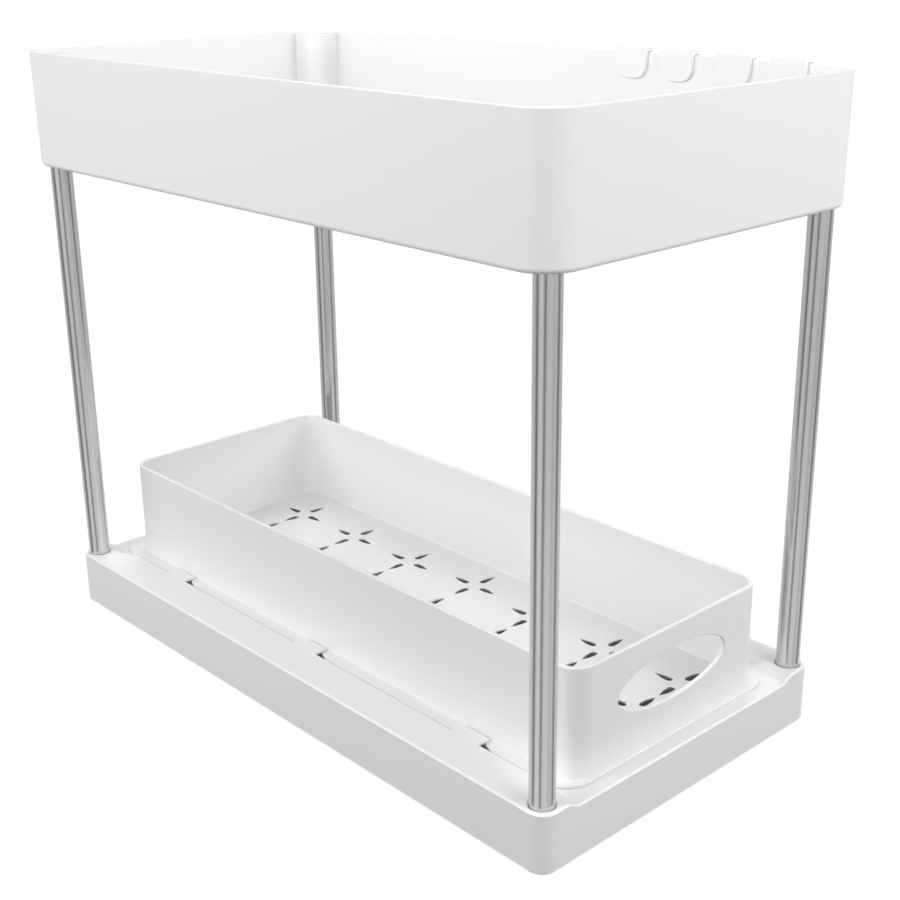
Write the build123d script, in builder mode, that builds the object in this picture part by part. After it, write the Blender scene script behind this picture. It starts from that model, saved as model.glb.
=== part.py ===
from build123d import *
from math import atan, degrees
import os

# Two-level organizer for the cupboard under a sink. Lengths are in millimetres, angles in degrees.
# X runs across, Y along and Z up. The front, where the drawer comes out, faces -Y.

# ---- Drawer: a tub with a flange round its foot, and the base is made round it ----
drawer_width = 136.0
drawer_length = 366.0
drawer_height = 56.9
drawer_wall = 2.4
drawer_floor = 2.0
drawer_corner_radius = 12.0
flange_side_reach = 8.6  # from the tub's foot to the flange's edge
flange_front_reach = 3.15
flange_back_reach = 8.15
flange_thickness = 1.9
flange_corner_radius = 15.0
flange_fillet = 2.6
notch_depth = 3.0  # relief in the flange's edge beside each tab
handle_length = 78.6
handle_height = 26.6
handle_centre = 31.8  # above the drawer's underside
edge_chamfer = 0.5  # takes the sharpness off rims and openings

# ---- Drain slots: a star of four leaves, repeated over a floor ----
star_pitch_x = 36.0
star_pitch_y = 52.0
leaf_count = 4
leaf_start = 5.4  # from the star's middle
leaf_end = 17.2
leaf_width = 2.9
leaf_point = 2.2  # length of the blunt inner end

# ---- Base frame ----
rail_gap = 1.9  # between the drawer's flange and the rail
sill_margin = 7.9  # sill left bare in front of the flange and behind it
ramp_clearance = 0.3  # between the flange and a corner ramp as the drawer comes out
rail_width = 21.8  # raised deck along each long side
boss_radius = 8.8  # corner radius of the base, round the same axis as the tube
base_height = 30.0  # from the skirt's lower edge to the deck
base_wall = 2.2
deck_chamfer = 0.9  # along the outer top edge
foot_height = 1.0
foot_radius = 8.0
socket_floor = 3.0  # material under a tube's lower end
socket_chamfer = 0.8  # lead-in round a tube at the deck
sill_drop = 3.2  # the ends and the drawer's bed lie this much lower than the deck
bed_width = 12.5  # strip beside each rail that carries the drawer
end_sill_width = 26.0
opening_corner_radius = 6.0
ramp_reach = 20.0  # from the tube's axis to where the rail starts to widen into the corner
ramp_shoulder_x = 6.5  # where the ramp's upper edge passes behind the socket
ramp_shoulder_y = 9.5
rib_thickness = 1.6
rail_rib_pitch = 65.0
sill_rib_pitch = 55.0

# ---- Retaining tabs: three on each rail, over the drawer's flange ----
tab_length = 18.5
tab_reach = 7.5
tab_clearance = 0.3  # over the flange
tab_pitch = 124.0
tab_shift = -1.0  # middle tab, along the base
tab_core_margin = 7.0  # how far the opening under a tab shows in front of it

# ---- Posts: four steel tubes between the base and the upper tray ----
tube_diameter = 12.0
tube_wall = 0.8
tube_length = 300.0
tube_insertion = 36.0  # how deep a tube goes into the tray
socket_fit = 0.15  # radial room round a tube in its socket

# ---- Upper tray ----
tray_side_margin = 13.0  # from the tube's axis to the tray's long face, at the rim
tray_end_margin = 11.75
tray_height = 62.0
tray_inset = 0.5  # how far the walls lean in from the rim to the floor
tray_wall = 2.0
tray_floor = 2.2
tray_corner_radius = 18.0
tray_bottom_radius = 2.5
column_wall = 2.9
column_drop = 1.6  # column tops stay this much below the rim

# ---- Hooks: saddles over the tray's right wall ----
hook_wall = 2.0
hook_wall_gap = 0.3
hook_width = 20.5
hook_bar_height = 2.4
hook_bar_radius = 1.2
hook_end_radius = 2.2  # rounds the saddle's upper corners, at both ends of the bar
tongue_length = 13.5  # below the rim, inside the tray
tongue_corner_radius = 7.5
plate_length = 10.0  # full-width part of the outer plate, below the rim
arm_width = 10.0
arm_length = 22.0  # from the rim down to where the arm starts to bend
throat_radius = 6.0  # inside of the J
tip_length = 9.0
tip_radius = 1.0
hook_distances = [137.0, 107.5, 73.0, 41.5]  # from the tray's front end

# ---- Working values ----
tolerance = 0.01  # for finding faces and edges by their place
overshoot = 1.0  # how far a cut starts outside the face that it opens

# ---- Derived places ----
flange_width = drawer_width + 2 * flange_side_reach
flange_length = drawer_length + flange_front_reach + flange_back_reach
drawer_shift = (flange_front_reach - flange_back_reach) / 2
rail_x = flange_width / 2 + rail_gap
base_width = 2 * (rail_x + rail_width)
base_length = flange_length + 2 * sill_margin
post_x = base_width / 2 - boss_radius
post_y = base_length / 2 - boss_radius
tube_radius = tube_diameter / 2
deck_z = foot_height + base_height
bed_z = deck_z - sill_drop
socket_floor_z = foot_height + socket_floor
tray_z = socket_floor_z + tube_length - tube_insertion
rim_z = tray_z + tray_height
tray_width = 2 * (post_x + tray_side_margin)
tray_length = 2 * (post_y + tray_end_margin)
tray_draft = degrees(atan(tray_inset / tray_height))
opening_width = 2 * (rail_x - bed_width)
opening_length = base_length - 2 * end_sill_width
ramp_foot_x = flange_width / 2 + ramp_clearance
ramp_start_y = post_y - ramp_reach
rail_hollow_length = 2 * (ramp_start_y - base_wall)
rail_rib_count = int(rail_hollow_length // rail_rib_pitch)
sill_rib_count = int(opening_width // sill_rib_pitch) + 1
tab_positions = [tab_shift + step * tab_pitch for step in (-1, 0, 1)]
tab_thickness = sill_drop - flange_thickness - tab_clearance
star_columns = int((drawer_width - 2 * drawer_wall - 2 * leaf_end) // star_pitch_x) + 1
star_rows = int((drawer_length - 2 * drawer_wall - 2 * leaf_end) // star_pitch_y) + 1
column_radius = tube_radius + column_wall
tray_wall_x = tray_width / 2
saddle_depth = tray_wall + 2 * (hook_wall_gap + hook_wall)
tongue_face_x = tray_wall_x - tray_wall - hook_wall_gap - hook_wall
plate_face_x = tray_wall_x + hook_wall_gap
hook_reach = plate_face_x + 2 * hook_wall + 2 * throat_radius
# The origin is the middle of the whole outline, hooks included, so the organizer's own middle
# plane stands a little to the left of it.
middle_x = (tray_wall_x - hook_reach) / 2
ground = Plane(origin=(middle_x, 0, 0))
left_right = {"left": -1, "right": 1}
front_back = {"front": -1, "back": 1}

os.makedirs("parts", exist_ok=True)


def four_corners(corner):
    """Repeat one corner's points, listed from the rail to the end, round all four corners."""
    back_right = [(x, y) for x, y in corner]
    back_left = [(-x, y) for x, y in reversed(corner)]
    front_left = [(-x, -y) for x, y in corner]
    front_right = [(x, -y) for x, y in reversed(corner)]
    return back_right + back_left + front_left + front_right


# One drain leaf along +X: a blunt inner end and a long outer point
with BuildSketch() as leaf:
    leaf_shoulder = leaf_start + leaf_point
    Polygon(
        (leaf_start, 0),
        (leaf_shoulder, -leaf_width / 2),
        (leaf_end, 0),
        (leaf_shoulder, leaf_width / 2),
        align=None,
    )


# ---- Base frame ----
with BuildPart() as base_frame:
    with BuildSketch(ground.offset(foot_height)):
        RectangleRounded(base_width, base_length, boss_radius)
    extrude(amount=base_height)

    # Low ground between the rails, open at both ends, with a ramp up to each corner
    end_y = base_length / 2 + overshoot
    shoulder_y = post_y - ramp_shoulder_y
    with BuildSketch(ground.offset(bed_z)):
        Polygon(*four_corners([
            (rail_x, ramp_start_y),
            (ramp_foot_x, shoulder_y),
            (ramp_foot_x, end_y),
        ]), align=None)
    with BuildSketch(ground.offset(deck_z)):
        Polygon(*four_corners([
            (rail_x, ramp_start_y),
            (post_x - ramp_shoulder_x, shoulder_y),
            (post_x - boss_radius, end_y),
        ]), align=None)
    loft(ruled=True, mode=Mode.SUBTRACT)

    # Break the outer top edge all the way, over the ramps too
    outer_edges = base_frame.edges().filter_by(
        lambda edge: edge.center().Z > bed_z - deck_chamfer
        and edge.bounding_box().size.Z < sill_drop + deck_chamfer
        and (
            abs(edge.center().X - middle_x) > base_width / 2 - boss_radius / 2
            or abs(edge.center().Y) > base_length / 2 - boss_radius / 2
        )
    )
    chamfer(outer_edges, deck_chamfer)

    # Hollow underneath: a channel under the bed and the sills, deeper under the rails
    channel_width = base_width - 2 * base_wall
    channel_length = base_length - 2 * base_wall
    with BuildSketch(ground.offset(foot_height)):
        RectangleRounded(channel_width, channel_length, boss_radius - base_wall)
        Rectangle(opening_width + 2 * base_wall, opening_length + 2 * base_wall, mode=Mode.SUBTRACT)
        with GridLocations(2 * post_x, 2 * post_y, 2, 2):
            Circle(boss_radius, mode=Mode.SUBTRACT)
        with GridLocations(0, rail_rib_pitch, 1, rail_rib_count):
            Rectangle(base_width, rib_thickness, mode=Mode.SUBTRACT)
        with GridLocations(sill_rib_pitch, 0, sill_rib_count, 1):
            Rectangle(rib_thickness, base_length, mode=Mode.SUBTRACT)
    extrude(amount=base_height - sill_drop - base_wall, mode=Mode.SUBTRACT)
    rail_hollow = rail_width - 2 * base_wall
    with BuildSketch(ground.offset(foot_height)):
        with GridLocations(2 * (rail_x + rail_width / 2), 0, 2, 1):
            Rectangle(rail_hollow, rail_hollow_length)
        with GridLocations(0, rail_rib_pitch, 1, rail_rib_count):
            Rectangle(base_width, rib_thickness, mode=Mode.SUBTRACT)
    extrude(amount=base_height - base_wall, mode=Mode.SUBTRACT)

    # Open middle
    with BuildSketch(ground.offset(foot_height)):
        RectangleRounded(opening_width, opening_length, opening_corner_radius)
    extrude(amount=base_height, mode=Mode.SUBTRACT)

    # Tabs over the drawer's flange, each with the opening that its mould core leaves below it
    with BuildSketch(ground.offset(deck_z)):
        for side in (-1, 1):
            for tab_y in tab_positions:
                with Locations((side * (rail_x + base_wall / 2 - tab_reach / 2), tab_y)):
                    Rectangle(tab_reach + base_wall, tab_length)
    extrude(amount=-tab_thickness)
    core_length = tab_length + tab_core_margin
    with BuildSketch(ground.offset(bed_z)):
        for side in (-1, 1):
            for tab_y in tab_positions:
                with Locations((side * (rail_x - tab_reach / 2), tab_y - tab_core_margin / 2)):
                    Rectangle(tab_reach, core_length)
    extrude(amount=-base_wall, mode=Mode.SUBTRACT)

    # Foot pads, and a blind socket for each tube with a lead-in at the deck
    with BuildSketch(ground):
        with GridLocations(2 * post_x, 2 * post_y, 2, 2):
            Circle(foot_radius)
    extrude(amount=foot_height)
    with BuildSketch(ground.offset(socket_floor_z)):
        with GridLocations(2 * post_x, 2 * post_y, 2, 2):
            Circle(tube_radius + socket_fit)
    extrude(amount=base_height, mode=Mode.SUBTRACT)
    mouths = base_frame.edges().filter_by(GeomType.CIRCLE).filter_by(
        lambda edge: abs(edge.center().Z - deck_z) < tolerance
        and abs(edge.radius - tube_radius - socket_fit) < tolerance
    )
    chamfer(mouths, socket_chamfer)
base_frame.part.label = "base_frame"
export_step(base_frame.part, "parts/base_frame.step")

# ---- Posts ----
for front_or_back, y_side in front_back.items():
    for left_or_right, x_side in left_right.items():
        with BuildPart() as post:
            with BuildSketch(ground.offset(socket_floor_z)):
                with Locations((x_side * post_x, y_side * post_y)):
                    Circle(tube_radius)
                    Circle(tube_radius - tube_wall, mode=Mode.SUBTRACT)
            extrude(amount=tube_length)
        post.part.label = f"post_{front_or_back}_{left_or_right}"
        export_step(post.part, f"parts/{post.part.label}.step")

# ---- Drawer ----
with BuildPart() as drawer:
    # Flange, with a relief in its edge beside each tab
    with BuildSketch(ground.offset(bed_z)):
        RectangleRounded(flange_width, flange_length, flange_corner_radius)
        edge_x = flange_width / 2
        for side in (-1, 1):
            for tab_y in tab_positions:
                tab_front = tab_y - tab_length / 2
                tab_back = tab_y + tab_length / 2
                Polygon(
                    (side * (edge_x + overshoot), tab_front - tab_core_margin),
                    (side * edge_x, tab_front - tab_core_margin),
                    (side * (edge_x - notch_depth), tab_front),
                    (side * (edge_x - notch_depth), tab_back - notch_depth),
                    (side * edge_x, tab_back),
                    (side * (edge_x + overshoot), tab_back),
                    align=None,
                    mode=Mode.SUBTRACT,
                )
    extrude(amount=flange_thickness)

    # Tub
    with BuildSketch(ground.offset(bed_z)):
        with Locations((0, drawer_shift)):
            RectangleRounded(drawer_width, drawer_length, drawer_corner_radius)
    extrude(amount=drawer_height)
    tub_foot = drawer.edges().filter_by(
        lambda edge: abs(edge.center().Z - bed_z - flange_thickness) < tolerance
        and abs(edge.center().X - middle_x) < drawer_width / 2 + tolerance
        and abs(edge.center().Y - drawer_shift) < drawer_length / 2 + tolerance
    )
    fillet(tub_foot, flange_fillet)
    with BuildSketch(ground.offset(bed_z + drawer_floor)):
        with Locations((0, drawer_shift)):
            RectangleRounded(
                drawer_width - 2 * drawer_wall,
                drawer_length - 2 * drawer_wall,
                drawer_corner_radius - drawer_wall,
            )
    extrude(amount=drawer_height, mode=Mode.SUBTRACT)
    chamfer(drawer.faces().sort_by(Axis.Z)[-1].edges(), edge_chamfer)

    # Oval finger hole in the front wall
    front_y = drawer_shift - drawer_length / 2
    front_wall = Plane(origin=(middle_x, front_y, bed_z + handle_centre), z_dir=(0, 1, 0), x_dir=(1, 0, 0))
    with BuildSketch(front_wall):
        Ellipse(handle_length / 2, handle_height / 2)
    extrude(amount=drawer_wall, mode=Mode.SUBTRACT)
    oval_edges = drawer.edges().filter_by(GeomType.ELLIPSE)
    chamfer(oval_edges, edge_chamfer)

    # Drain stars
    with BuildSketch(ground.offset(bed_z)):
        with Locations((0, drawer_shift)):
            with GridLocations(star_pitch_x, star_pitch_y, star_columns, star_rows):
                with PolarLocations(0, leaf_count):
                    add(leaf.sketch)
    extrude(amount=drawer_floor, mode=Mode.SUBTRACT)
drawer.part.label = "drawer"
export_step(drawer.part, "parts/drawer.step")

# ---- Upper tray ----
with BuildPart() as top_tray:
    with BuildSketch(ground.offset(rim_z)):
        RectangleRounded(tray_width, tray_length, tray_corner_radius)
    extrude(amount=-tray_height, taper=tray_draft)
    fillet(top_tray.faces().sort_by(Axis.Z)[0].edges(), tray_bottom_radius)
    with BuildSketch(ground.offset(rim_z)):
        RectangleRounded(
            tray_width - 2 * tray_wall, tray_length - 2 * tray_wall, tray_corner_radius - tray_wall
        )
    extrude(amount=-(tray_height - tray_floor), taper=tray_draft, mode=Mode.SUBTRACT)

    # A column in each inner corner, joined to the walls behind it
    with BuildSketch(ground.offset(tray_z + tray_floor / 2)):
        RectangleRounded(tray_width - tray_wall, tray_length - tray_wall, tray_corner_radius - tray_wall / 2)
        Rectangle(2 * post_x, tray_length, mode=Mode.SUBTRACT)
        Rectangle(tray_width, 2 * post_y, mode=Mode.SUBTRACT)
        with GridLocations(2 * post_x, 2 * post_y, 2, 2):
            Circle(column_radius)
    extrude(amount=tray_height - tray_floor / 2 - column_drop)

    # Sockets from below, and drain stars
    with BuildSketch(ground.offset(tray_z)):
        with GridLocations(2 * post_x, 2 * post_y, 2, 2):
            Circle(tube_radius + socket_fit)
    extrude(amount=tube_insertion, mode=Mode.SUBTRACT)
    with BuildSketch(ground.offset(tray_z)):
        with GridLocations(star_pitch_x, star_pitch_y, star_columns, star_rows):
            with PolarLocations(0, leaf_count):
                add(leaf.sketch)
    extrude(amount=tray_floor, mode=Mode.SUBTRACT)
    rim = top_tray.faces().filter_by(Axis.Z).sort_by(Axis.Z)[-1]
    chamfer(rim.edges(), edge_chamfer)
top_tray.part.label = "top_tray"
export_step(top_tray.part, "parts/top_tray.step")

# ---- Hooks ----
taper_end_z = -plate_length - (hook_width - arm_width) / 2
bend_radius = throat_radius + hook_wall
plate_back_x = plate_face_x + hook_wall
for number, hook_distance in enumerate(hook_distances, start=1):
    hook_y = hook_distance - tray_length / 2
    wall_top = Plane(origin=(middle_x, hook_y, rim_z), x_dir=(0, 1, 0), z_dir=(1, 0, 0))
    side_view = Plane(origin=(middle_x, hook_y, rim_z), x_dir=(1, 0, 0), z_dir=(0, -1, 0))

    # The outlines seen from the front and from behind: a round-cornered tongue inside the tray,
    # and outside it a plate that narrows to the arm
    with BuildPart() as outline:
        with BuildSketch(wall_top.offset(tongue_face_x)) as tongue:
            with Locations((0, (hook_bar_height - tongue_length) / 2)):
                Rectangle(hook_width, hook_bar_height + tongue_length)
            fillet(tongue.vertices().group_by(Axis.Y)[0], tongue_corner_radius)
            fillet(tongue.vertices().group_by(Axis.Y)[-1], hook_end_radius)
        extrude(amount=saddle_depth / 2)
        with BuildSketch(wall_top.offset(plate_back_x)) as plate:
            right_half = [
                (hook_width / 2, hook_bar_height),
                (hook_width / 2, -plate_length),
                (arm_width / 2, taper_end_z),
                (arm_width / 2, -arm_length),
            ]
            Polygon(*right_half, *[(-y, z) for y, z in reversed(right_half)], align=None)
            fillet(plate.vertices().group_by(Axis.Y)[-1], hook_end_radius)
        extrude(amount=-saddle_depth / 2)

    with BuildPart() as hook:
        # Saddle seen from the side, cut to those outlines
        with BuildSketch(side_view) as saddle:
            Polygon(
                (tongue_face_x, -tongue_length),
                (tongue_face_x, hook_bar_height),
                (plate_back_x, hook_bar_height),
                (plate_back_x, -arm_length),
                (plate_face_x, -arm_length),
                (plate_face_x, 0),
                (tongue_face_x + hook_wall, 0),
                (tongue_face_x + hook_wall, -tongue_length),
                align=None,
            )
            fillet(saddle.vertices().group_by(Axis.Y)[-1], hook_bar_radius)
        extrude(amount=hook_width / 2, both=True)
        add(outline.part, mode=Mode.INTERSECT)

        # Arm bent outwards and up into a J
        with BuildSketch(side_view) as bend:
            with Locations((plate_face_x + bend_radius, -arm_length)):
                Circle(bend_radius)
                Circle(throat_radius, mode=Mode.SUBTRACT)
            with Locations((plate_face_x + bend_radius, -arm_length + bend_radius / 2)):
                Rectangle(2 * bend_radius, bend_radius, mode=Mode.SUBTRACT)
            with Locations((hook_reach - hook_wall / 2, -arm_length + tip_length / 2)):
                Rectangle(hook_wall, tip_length)
            fillet(bend.vertices().sort_by(Axis.X)[-2:].sort_by(Axis.Y)[-1:], tip_radius)
        extrude(amount=arm_width / 2, both=True)
    hook.part.label = f"hook_{number}"
    export_step(hook.part, f"parts/{hook.part.label}.step")
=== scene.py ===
"""Dresses the two-level organizer: its moulded pieces, steel tubes and hooks, and the stage round it."""
import math

import bmesh
import bpy
from mathutils import Matrix, Vector


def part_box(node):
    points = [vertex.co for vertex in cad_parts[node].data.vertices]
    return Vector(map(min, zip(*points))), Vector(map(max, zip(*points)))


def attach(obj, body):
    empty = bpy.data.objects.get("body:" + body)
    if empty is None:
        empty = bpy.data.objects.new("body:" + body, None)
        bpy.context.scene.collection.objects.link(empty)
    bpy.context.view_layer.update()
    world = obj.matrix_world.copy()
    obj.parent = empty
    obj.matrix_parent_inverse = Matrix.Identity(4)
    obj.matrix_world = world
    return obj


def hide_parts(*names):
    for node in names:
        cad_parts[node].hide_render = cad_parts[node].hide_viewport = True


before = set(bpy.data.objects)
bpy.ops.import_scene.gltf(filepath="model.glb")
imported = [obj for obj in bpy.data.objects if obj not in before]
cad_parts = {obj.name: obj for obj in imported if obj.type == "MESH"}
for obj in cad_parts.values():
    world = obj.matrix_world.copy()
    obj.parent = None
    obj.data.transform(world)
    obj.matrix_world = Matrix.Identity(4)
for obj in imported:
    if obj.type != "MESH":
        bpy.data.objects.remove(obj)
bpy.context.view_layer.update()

bl_info = {
    "name": "Two-Level Organizer",
    "version": (1, 0, 0),
    "blender": (4, 5, 0),
    "location": "3D Viewport > Sidebar > Organizer",
    "description": "Models and dresses a two-level organizer with a pull-out drawer on steel tubes",
    "category": "Object",
}

MM = 0.001
TUBE_PLACES = {  # sides of the middle planes that the four tubes stand on
    "post_front_left": (-1, -1),
    "post_front_right": (1, -1),
    "post_back_left": (-1, 1),
    "post_back_right": (1, 1),
}
MIDDLE_X = sum(corner[0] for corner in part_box("base_frame")) / 2
STAR_COLUMNS, STAR_ROWS = 3, 7
HOOK_SIDE = -1.0  # the side of the hook's sheet that its thickness grows to

# Facets of the round shapes, and across the roundings of their edges
COLUMN_SIDES = 64
TUBE_SIDES = 96
HOLE_SIDES = 96
DOT_SIDES = 24
LEAF_SIDES = 12
CORNER_STEPS = 20
BEND_STEPS = 14
TONGUE_STEPS = 10
FLARE_STEPS = 6
FILLET_STEPS = 6
HOOK_END_STEPS = 5
INNER_STEPS = 4
LIP_STEPS = 4
RIM_STEPS = 3
TUBE_END_STEPS = 2

FLARE_POWER = 1.6  # how fast the drawer's swept foot runs out in the wall
CLEAR = 3 * MM  # how far a cutter reaches past the piece that it cuts
SINK = 0.5 * MM  # how far a column's foot is let into the floor
SLACK = 0.1 * MM  # room beside a limit, where faces, edges or vertices are picked by place
WELD = 0.004 * MM  # distance below which two vertices become one
SHARP_ABOVE = 32.0  # degrees between two faces above which their edge is shaded sharp

GRAIN_DEPTH, BASE_GRAIN_DEPTH = 0.08, 0.25  # strength of the moulded grain's bumps
STEEL_ROUGHNESS = (0.16, 0.3)  # roughness of the steel, from its brightest to its dullest lines

# Grey levels round the horizon that the steel reflects: the front (0), the left (0.25), the back (0.5),
# the right (0.75) and the front again (1). The two ends come first, because a new ramp has just those.
RING_STRIPES = (
    (0.0, 0.60), (1.0, 0.60),
    (0.035, 0.86), (0.135, 0.88), (0.155, 0.30), (0.17, 0.15), (0.195, 0.60), (0.22, 0.95), (0.27, 0.95),
    (0.295, 0.78), (0.33, 0.16), (0.35, 0.16), (0.385, 0.60), (0.44, 0.85), (0.58, 0.80), (0.66, 0.92),
    (0.80, 0.84), (0.84, 0.80), (0.88, 0.20), (0.895, 0.20), (0.93, 0.74), (0.96, 0.84),
)
RING_RADIUS, RING_DEPTH, RING_SIDES = 2.0, 3.0, 128
RING_FADE = (-0.72, -0.42)  # heights between which the ring's glow gets a little weaker
RING_UPPER_GLOW = 0.82  # share of the glow that is left above them
RING_STREAKS = (0.64, 1.22)  # faintest and brightest of the fine streaks in the stripes

# Name, place, side and power of each square lamp. All of them look at the same point.
SOFTBOXES = (
    ("left_softbox", (-1.504, 0.0, 0.707), 0.9, 8.73),
    ("left_back_softbox", (-1.16, 0.87, 0.836), 0.9, 7.03),
    ("front_softbox", (0.0, -1.504, 0.707), 0.9, 8.41),
    ("right_front_softbox", (0.87, -1.16, 0.836), 0.9, 9.90),
    ("back_softbox", (0.679, 0.772, 1.386), 0.9, 12.67),
    ("left_back_high_softbox", (-0.823, 0.617, 1.386), 0.9, 2.34),
    ("near_left_softbox", (-0.778, 0.0, 0.705), 0.5, 2.24),
    ("near_front_softbox", (0.0, -0.778, 0.705), 0.5, 1.81),
)
LAMP_TARGET = (0.0, 0.0, 0.16)

FLOOR_SIZE = 60.0
FLOOR_GREY = 0.85  # colour of the floor that takes the object's shadow
FLOOR_GLOW = 1.06  # strength of the white that is laid over it for the camera
FLOOR_GLOW_SHARE = 0.85  # share of that white beside the object
FLOOR_FADE = (0.3, 0.8)  # distances between which that share grows to the whole
TABLE_GREY = 0.15  # what the lamps see of the floor
UNDER_SHADE_GREY = 0.02  # what the lamps see of the floor under the base frame: painted shade, darker than the table, which dims the light bounced up into the base
UNDER_INSET = (1.5 * MM, 9 * MM)  # how far that patch stays inside the base's sides, and at its corners
SENSOR_WIDTH = 36.0


# ---- Settings ----


def colour(name, description, value):
    """A colour of the model, in linear light."""
    return bpy.props.FloatVectorProperty(
        name=name, description=description, subtype="COLOR", size=4, min=0.0, max=1.0, default=(*value, 1.0)
    )


def angle(name, description, degrees):
    """An angle of the camera, entered here in degrees."""
    return bpy.props.FloatProperty(
        name=name, description=description, subtype="ANGLE", default=math.radians(degrees)
    )


def length(name, description, millimetres):
    """A length of the model, entered here in millimetres."""
    return bpy.props.FloatProperty(
        name=name, description=description, default=millimetres * MM, min=0.0, unit="LENGTH", precision=5
    )


def signed_length(name, description, millimetres):
    """A length that may point either way, entered here in millimetres."""
    return bpy.props.FloatProperty(
        name=name, description=description, default=millimetres * MM, unit="LENGTH", precision=5
    )


class OrganizerColours(bpy.types.PropertyGroup):
    """Finishes of the moulded pieces and the tubes."""

    plastic: colour("Plastic", "Colour of the white moulded pieces", (0.818, 0.82, 0.824))
    base_plastic: colour(
        "Base plastic",
        "Colour of the base frame, a little cooler than the other pieces",
        (0.83, 0.836, 0.853),
    )
    steel: colour("Steel", "Colour of the bright stainless tubes", (0.66, 0.655, 0.65))
    plastic_gloss: bpy.props.FloatProperty(
        name="Plastic roughness",
        description="Roughness of the satin moulded surface",
        min=0.0,
        max=1.0,
        default=0.38,
        subtype="FACTOR",
    )


class OrganizerTube(bpy.types.PropertyGroup):
    """Steel tubes."""

    radius: length("Radius", "Outer radius of a tube", 6.0)
    wall: length("Wall", "Wall thickness of a tube", 0.8)
    bottom: length("Bottom", "Height of the tubes' lower ends", 4.0)
    top: length("Top", "Height of the tubes' upper ends, inside the tray", 304.0)
    edge: length("Edge", "Rounding of a tube's ends", 0.15)
    half_across: length("Half distance across", "From the middle plane to a tube's axis", 91.5)
    half_along: length("Half distance along", "From the middle to a tube's axis, lengthwise", 187.75)


class OrganizerTray(bpy.types.PropertyGroup):
    """Deep upper tray."""

    width: length("Width", "Outer width at the rim", 209.0)
    length: length("Length", "Outer length at the rim", 399.0)
    corner: length("Corner radius", "Outer corner radius at the rim", 18.0)
    rim: length("Rim", "Height of the rim", 330.0)
    bottom: length("Bottom", "Height of the underside", 268.0)
    floor: length("Floor", "Height of the floor's upper side", 270.2)
    wall: length("Wall", "Wall thickness", 2.0)
    lean: length("Lean", "How far a wall leans in from the rim to the bottom", 0.5)
    rim_edge: length("Rim edge", "Rounding of the rim's edges", 0.7)
    bottom_edge: length("Bottom edge", "Rounding of the edge round the underside", 2.5)
    inner_edge: length("Inner edge", "Rounding between the floor and the walls", 1.2)
    column_radius: length("Column radius", "Outer radius of the columns round the tubes", 8.9)
    column_top: length("Column top", "Height of the columns", 328.4)
    column_edge: length("Column edge", "Rounding of a column's upper edge", 0.5)
    column_fillet: length("Column fillet", "Rounding between a column and the walls", 3.0)
    socket_radius: length("Socket radius", "Radius of the holes that take the tubes", 6.15)


class OrganizerDrain(bpy.types.PropertyGroup):
    """Drain slots: stars of four leaves."""

    start: length("Leaf start", "From the star's middle to a leaf's blunt end", 5.0)
    end: length("Leaf end", "From the star's middle to a leaf's pointed end", 16.5)
    width: length("Leaf width", "Widest part of a leaf", 4.2)
    point: length("Leaf point", "Length of the straight-sided point", 1.1)
    pitch_across: length("Pitch across", "Distance of the stars across the floor", 36.0)
    middle_pitch: length("Middle pitch", "Distance of the stars across, in the drawer's middle row", 40.0)
    middle_shift: length("Middle shift", "How far the drawer's middle row is set to the right", 1.0)
    drawer_shift: length("Drawer shift", "How far the drawer's stars are set to the front", 6.8)
    pitch_along: length("Pitch along", "Distance of the stars along the floor", 51.75)


class OrganizerTabs(bpy.types.PropertyGroup):
    """Retaining tabs on the base's rails."""

    length: length("Length", "Length of a tab along the rail", 18.5)
    pitch: length("Pitch", "Distance from tab to tab", 124.0)
    shift: signed_length("Shift", "Place of the middle tab along the base", -1.0)
    core_margin: length("Core margin", "How far the opening under a tab shows in front of it", 7.0)


class OrganizerDrawer(bpy.types.PropertyGroup):
    """Pull-out drawer."""

    width: length("Width", "Outer width of the tub", 136.0)
    length: length("Length", "Outer length of the tub", 366.0)
    corner: length("Corner radius", "Outer corner radius of the tub", 12.0)
    shift: signed_length("Shift", "Middle of the tub along the base", -2.5)
    bottom: length("Bottom", "Height of the underside, which slides on the base", 27.8)
    floor: length("Floor", "Height of the floor's upper side", 29.8)
    skin: length("Skin", "Thickness of the floor round the drain slots", 0.8)
    top: length("Top", "Height of the rim", 84.7)
    wall: length("Wall", "Wall thickness", 2.4)
    rim_edge: length("Rim edge", "Rounding of the rim's edges", 0.7)
    inner_edge: length("Inner edge", "Rounding between the floor and the walls", 1.0)
    flange_width: length("Flange width", "Width over the flange", 153.2)
    flange_length: length("Flange length", "Length over the flange", 377.3)
    flange_corner: length("Flange corner", "Corner radius of the flange", 15.0)
    flange_top: length("Flange top", "Height of the flange's upper side", 29.7)
    flange_edge: length("Flange edge", "Rounding of the flange's upper edge", 0.35)
    relief_height: length("Relief height", "Height of the rebate under the flange's edge", 0.5)
    relief_depth: length("Relief depth", "Depth of the rebate under the flange's edge", 2.0)
    front_flare: length("Front flare", "How far the front wall sweeps out at its foot", 2.7)
    side_flare: length("Side flare", "How far the side walls sweep out at their foot", 1.3)
    flare_height: length("Flare height", "Height of the swept foot over the flange", 14.0)
    notch_depth: length("Notch depth", "Depth of the reliefs beside the tabs", 3.0)
    hole_width: length("Hole width", "Width of the finger hole", 78.6)
    hole_height: length("Hole height", "Height of the finger hole", 26.6)
    hole_middle: length("Hole middle", "Height of the finger hole's middle", 59.6)
    hole_lip: length("Hole lip", "Rounding of the finger hole's edges", 0.7)


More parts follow.
